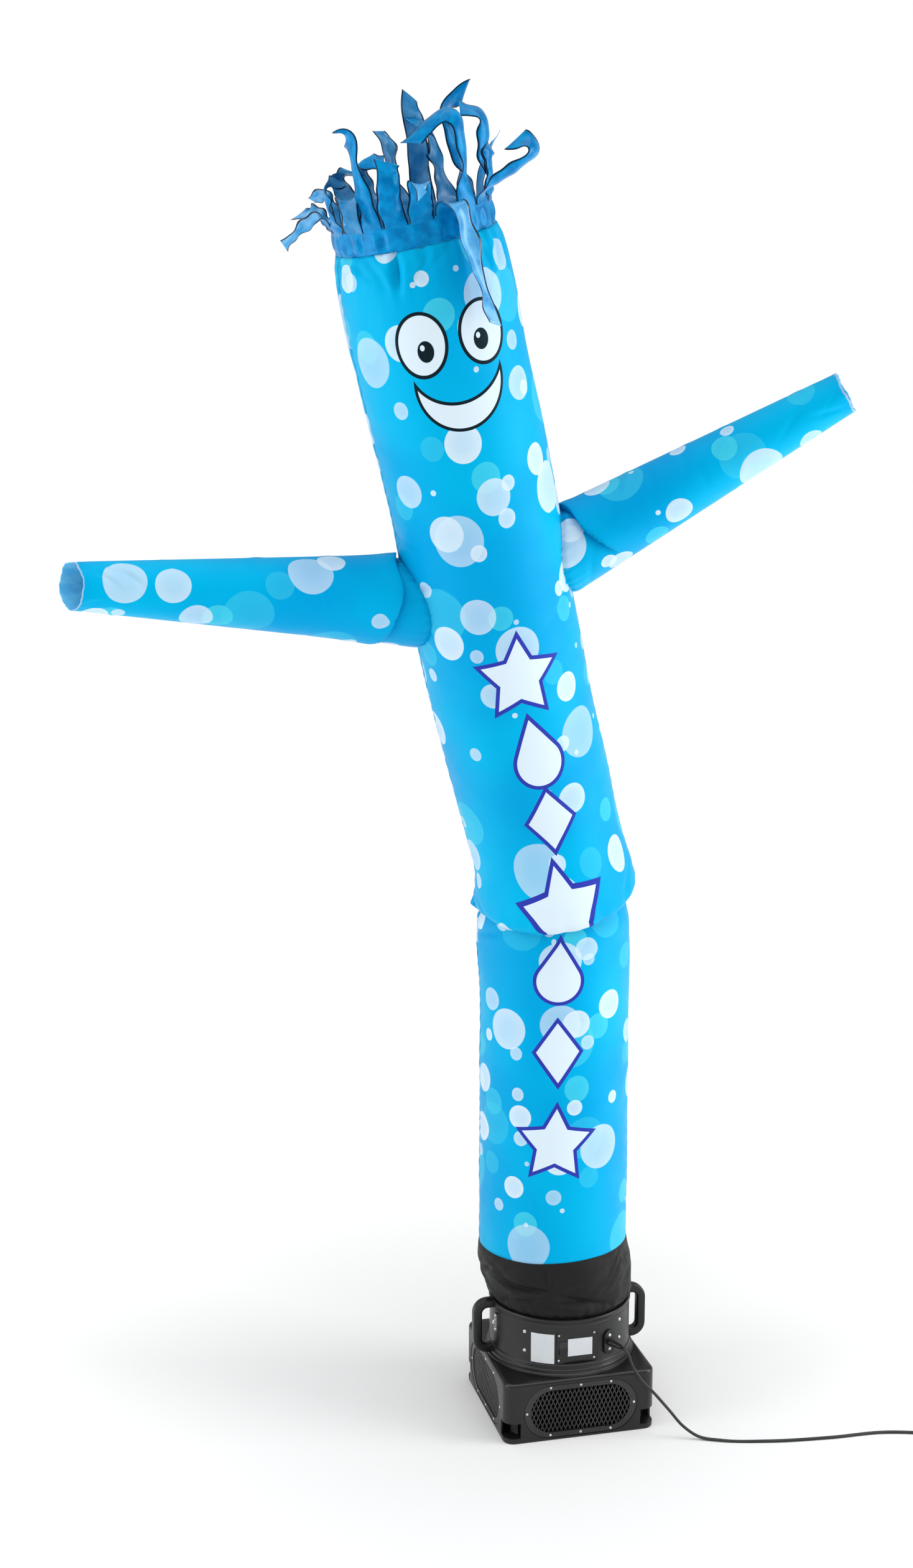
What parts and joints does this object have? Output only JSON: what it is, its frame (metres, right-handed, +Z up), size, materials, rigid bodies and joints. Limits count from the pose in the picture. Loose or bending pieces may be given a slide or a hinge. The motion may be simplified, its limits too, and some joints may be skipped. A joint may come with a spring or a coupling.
{
  "type": "inflatable air dancer on a blower",
  "caption": "Tall inflated cloth tube with two tapered arms and a crown of loose strips, bent forward once at the waist, standing on a square blower with a round outlet.",
  "frame": {"origin": "middle of the blower's underside, on the floor", "axes": "+Z up, -Y the blower's face with the switch panel above it, +X to the viewer's right of that face"},
  "size_m": [1.8828, 0.6103, 2.756],
  "materials": {
    "printed_nylon": "printed ripstop nylon, satin",
    "blue_nylon": "plain nylon, satin",
    "black_nylon": "plain nylon, matte",
    "black_plastic": "moulded, satin",
    "black_steel": "painted expanded mesh",
    "zinc": "bright zinc plating",
    "white_plate": "plain, satin",
    "black_rubber": "matte"
  },
  "bodies": {
    "dancer": {"front_panel": "printed_nylon", "back_panel": "printed_nylon", "left_arm": "printed_nylon", "right_arm": "printed_nylon", "hair_crown": "blue_nylon", "skirt": "black_nylon", "blower_base": "black_plastic", "outlet_collar": "black_plastic", "grille_front": "black_steel", "grille_right": "black_steel", "grille_back": "black_steel", "grille_left": "black_steel", "handle_left": "black_plastic", "handle_right": "black_plastic", "eye_bracket": "zinc", "label_plate": "white_plate", "switch_plate": "black_plastic", "blank_plate": "white_plate", "cord_flange": "black_plastic", "cord_lead": "black_rubber", "cord_coil": "black_rubber", "cord_plug": "black_rubber"},
    "rocker_switch": {"rocker": "black_plastic"}
  },
  "joints": [
    {"name": "rocker_press", "type": "hinge", "parent": "dancer", "child": "rocker_switch", "pos_m": [-0.0345, -0.1452, 0.1975], "axis": [1, 0, 0], "range_deg": [0, 16]}
  ]
}
